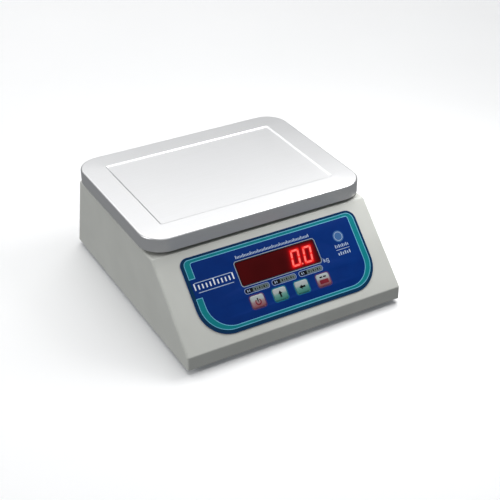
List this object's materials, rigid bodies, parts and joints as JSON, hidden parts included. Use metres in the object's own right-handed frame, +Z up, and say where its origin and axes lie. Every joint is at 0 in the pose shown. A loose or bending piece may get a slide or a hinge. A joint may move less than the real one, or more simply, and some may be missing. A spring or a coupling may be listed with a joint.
{
  "type": "counting scale",
  "caption": "Bench counting scale: wedge-shaped sheet-steel body with a sloping key and display panel, and a lift-off stainless weighing pan on a load cell.",
  "frame": {"origin": "on the bench, under the middle of the scale's bounding box", "axes": "+X to the operator's right, +Y to the back of the scale, +Z up"},
  "size_m": [0.3, 0.3278, 0.1314],
  "materials": {
    "body_paint": "light grey powder coat, fine satin texture",
    "pan_steel": "satin stainless steel",
    "membrane": "blue printed polyester membrane, semi-gloss",
    "red_filter": "deep red transparent acrylic",
    "key_plastic": "pale printed key tops",
    "led_plastic": "black LED module body",
    "circuit_board": "green solder mask",
    "black_plastic": "moulded black plastic",
    "battery_case": "moulded ABS battery case",
    "rubber": "black rubber",
    "zinc_steel": "bright zinc plate",
    "galvanised": "galvanised sheet",
    "aluminium": "machined aluminium",
    "cast_aluminium": "as-cast aluminium",
    "cable": "grey PVC cable"
  },
  "bodies": {
    "chassis": {"base_plate": "galvanised", "housing_cover": "body_paint", "cover_rail_left": "galvanised", "cover_rail_right": "galvanised", "cover_screw_1": "zinc_steel", "cover_screw_2": "zinc_steel", "cover_screw_3": "zinc_steel", "cover_screw_4": "zinc_steel", "membrane_overlay": "membrane", "display_window": "red_filter", "display_board": "circuit_board", "led_module_left": "led_plastic", "led_module_right": "led_plastic", "display_spacer_1": "zinc_steel", "display_spacer_2": "zinc_steel", "display_spacer_3": "zinc_steel", "display_spacer_4": "zinc_steel", "key_switch_1": "black_plastic", "key_switch_2": "black_plastic", "key_switch_3": "black_plastic", "key_switch_4": "black_plastic", "main_board": "circuit_board", "board_spacer_1": "zinc_steel", "board_spacer_2": "zinc_steel", "board_spacer_3": "zinc_steel", "board_spacer_4": "zinc_steel", "battery": "battery_case", "battery_strap": "galvanised", "load_cell": "aluminium", "cell_base_block": "aluminium", "cell_bolt_lower_1": "zinc_steel", "cell_bolt_lower_2": "zinc_steel", "overload_stop": "zinc_steel", "foot_nut_1": "zinc_steel", "foot_nut_2": "zinc_steel", "foot_nut_3": "zinc_steel", "foot_nut_4": "zinc_steel", "switch_housing": "black_plastic", "power_socket": "black_plastic", "load_cell_cable": "cable", "display_cable": "cable", "power_lead": "cable"},
    "platform": {"platform_post": "aluminium", "pan_spider": "cast_aluminium", "cell_bolt_upper_1": "zinc_steel", "cell_bolt_upper_2": "zinc_steel", "pan_cushion_1": "rubber", "pan_cushion_2": "rubber", "pan_cushion_3": "rubber", "pan_cushion_4": "rubber"},
    "pan": {"weighing_pan": "pan_steel"},
    "rocker": {"switch_rocker": "black_plastic"},
    "key_1": {"key_1": "key_plastic"},
    "key_2": {"key_2": "key_plastic"},
    "key_3": {"key_3": "key_plastic"},
    "key_4": {"key_4": "key_plastic"},
    "foot_1": {"foot_1": "rubber"},
    "foot_2": {"foot_2": "rubber"},
    "foot_3": {"foot_3": "rubber"},
    "foot_4": {"foot_4": "rubber"}
  },
  "joints": [
    {"name": "platform_sink", "type": "slide", "parent": "chassis", "child": "platform", "axis": [0, 0, -1], "range_m": [0, 0.0004], "stiffness_N_per_m": 60000, "springref_m": -0.0003},
    {"name": "pan_lift", "type": "slide", "parent": "platform", "child": "pan", "axis": [0, 0, 1], "range_m": [0, 0.06]},
    {"name": "rocker_tilt", "type": "hinge", "parent": "chassis", "child": "rocker", "pos_m": [0.1, 0.15333, 0.05073], "axis": [1, 0, 0], "range_deg": [0, 18]},
    {"name": "key_1_press", "type": "slide", "parent": "chassis", "child": "key_1", "axis": [0, 0.6942, -0.7198], "range_m": [0, 0.0006], "stiffness_N_per_m": 2500, "springref_m": -0.00006},
    {"name": "key_2_press", "type": "slide", "parent": "chassis", "child": "key_2", "axis": [0, 0.6942, -0.7198], "range_m": [0, 0.0006], "stiffness_N_per_m": 2500, "springref_m": -0.00006},
    {"name": "key_3_press", "type": "slide", "parent": "chassis", "child": "key_3", "axis": [0, 0.6942, -0.7198], "range_m": [0, 0.0006], "stiffness_N_per_m": 2500, "springref_m": -0.00006},
    {"name": "key_4_press", "type": "slide", "parent": "chassis", "child": "key_4", "axis": [0, 0.6942, -0.7198], "range_m": [0, 0.0006], "stiffness_N_per_m": 2500, "springref_m": -0.00006},
    {"name": "foot_1_level", "type": "slide", "parent": "chassis", "child": "foot_1", "axis": [0, 0, -1], "range_m": [0, 0.006]},
    {"name": "foot_2_level", "type": "slide", "parent": "chassis", "child": "foot_2", "axis": [0, 0, -1], "range_m": [0, 0.006]},
    {"name": "foot_3_level", "type": "slide", "parent": "chassis", "child": "foot_3", "axis": [0, 0, -1], "range_m": [0, 0.006]},
    {"name": "foot_4_level", "type": "slide", "parent": "chassis", "child": "foot_4", "axis": [0, 0, -1], "range_m": [0, 0.006]}
  ]
}
